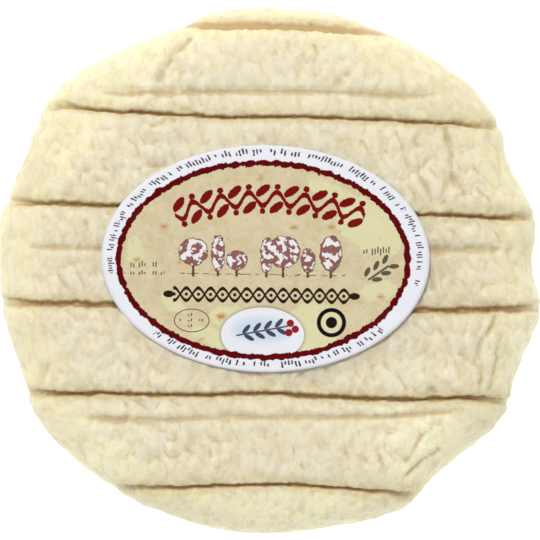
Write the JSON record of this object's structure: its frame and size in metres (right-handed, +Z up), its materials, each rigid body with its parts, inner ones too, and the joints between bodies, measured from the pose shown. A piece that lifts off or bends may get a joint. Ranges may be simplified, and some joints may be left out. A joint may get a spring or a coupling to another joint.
{
  "type": "goat cheese",
  "caption": "Soft goat's cheese in a low rounded loaf, its wrinkled rind pressed into pillows by drainage racks, with an oval paper label on top.",
  "frame": {"origin": "on the ground, under the middle of the cheese's bounding box", "axes": "+Z up, towards the labelled face; +X along the grooves, to the right of the upright label; +Y to the top of the label"},
  "size_m": [0.1102, 0.107, 0.0218],
  "materials": {
    "cheese": "soft matt wrinkled rind, cream with yellower edges",
    "label": "smooth printed paper, slightly glossy"
  },
  "bodies": {
    "root": {"cheese": "cheese", "label": "label"}
  },
  "joints": []
}
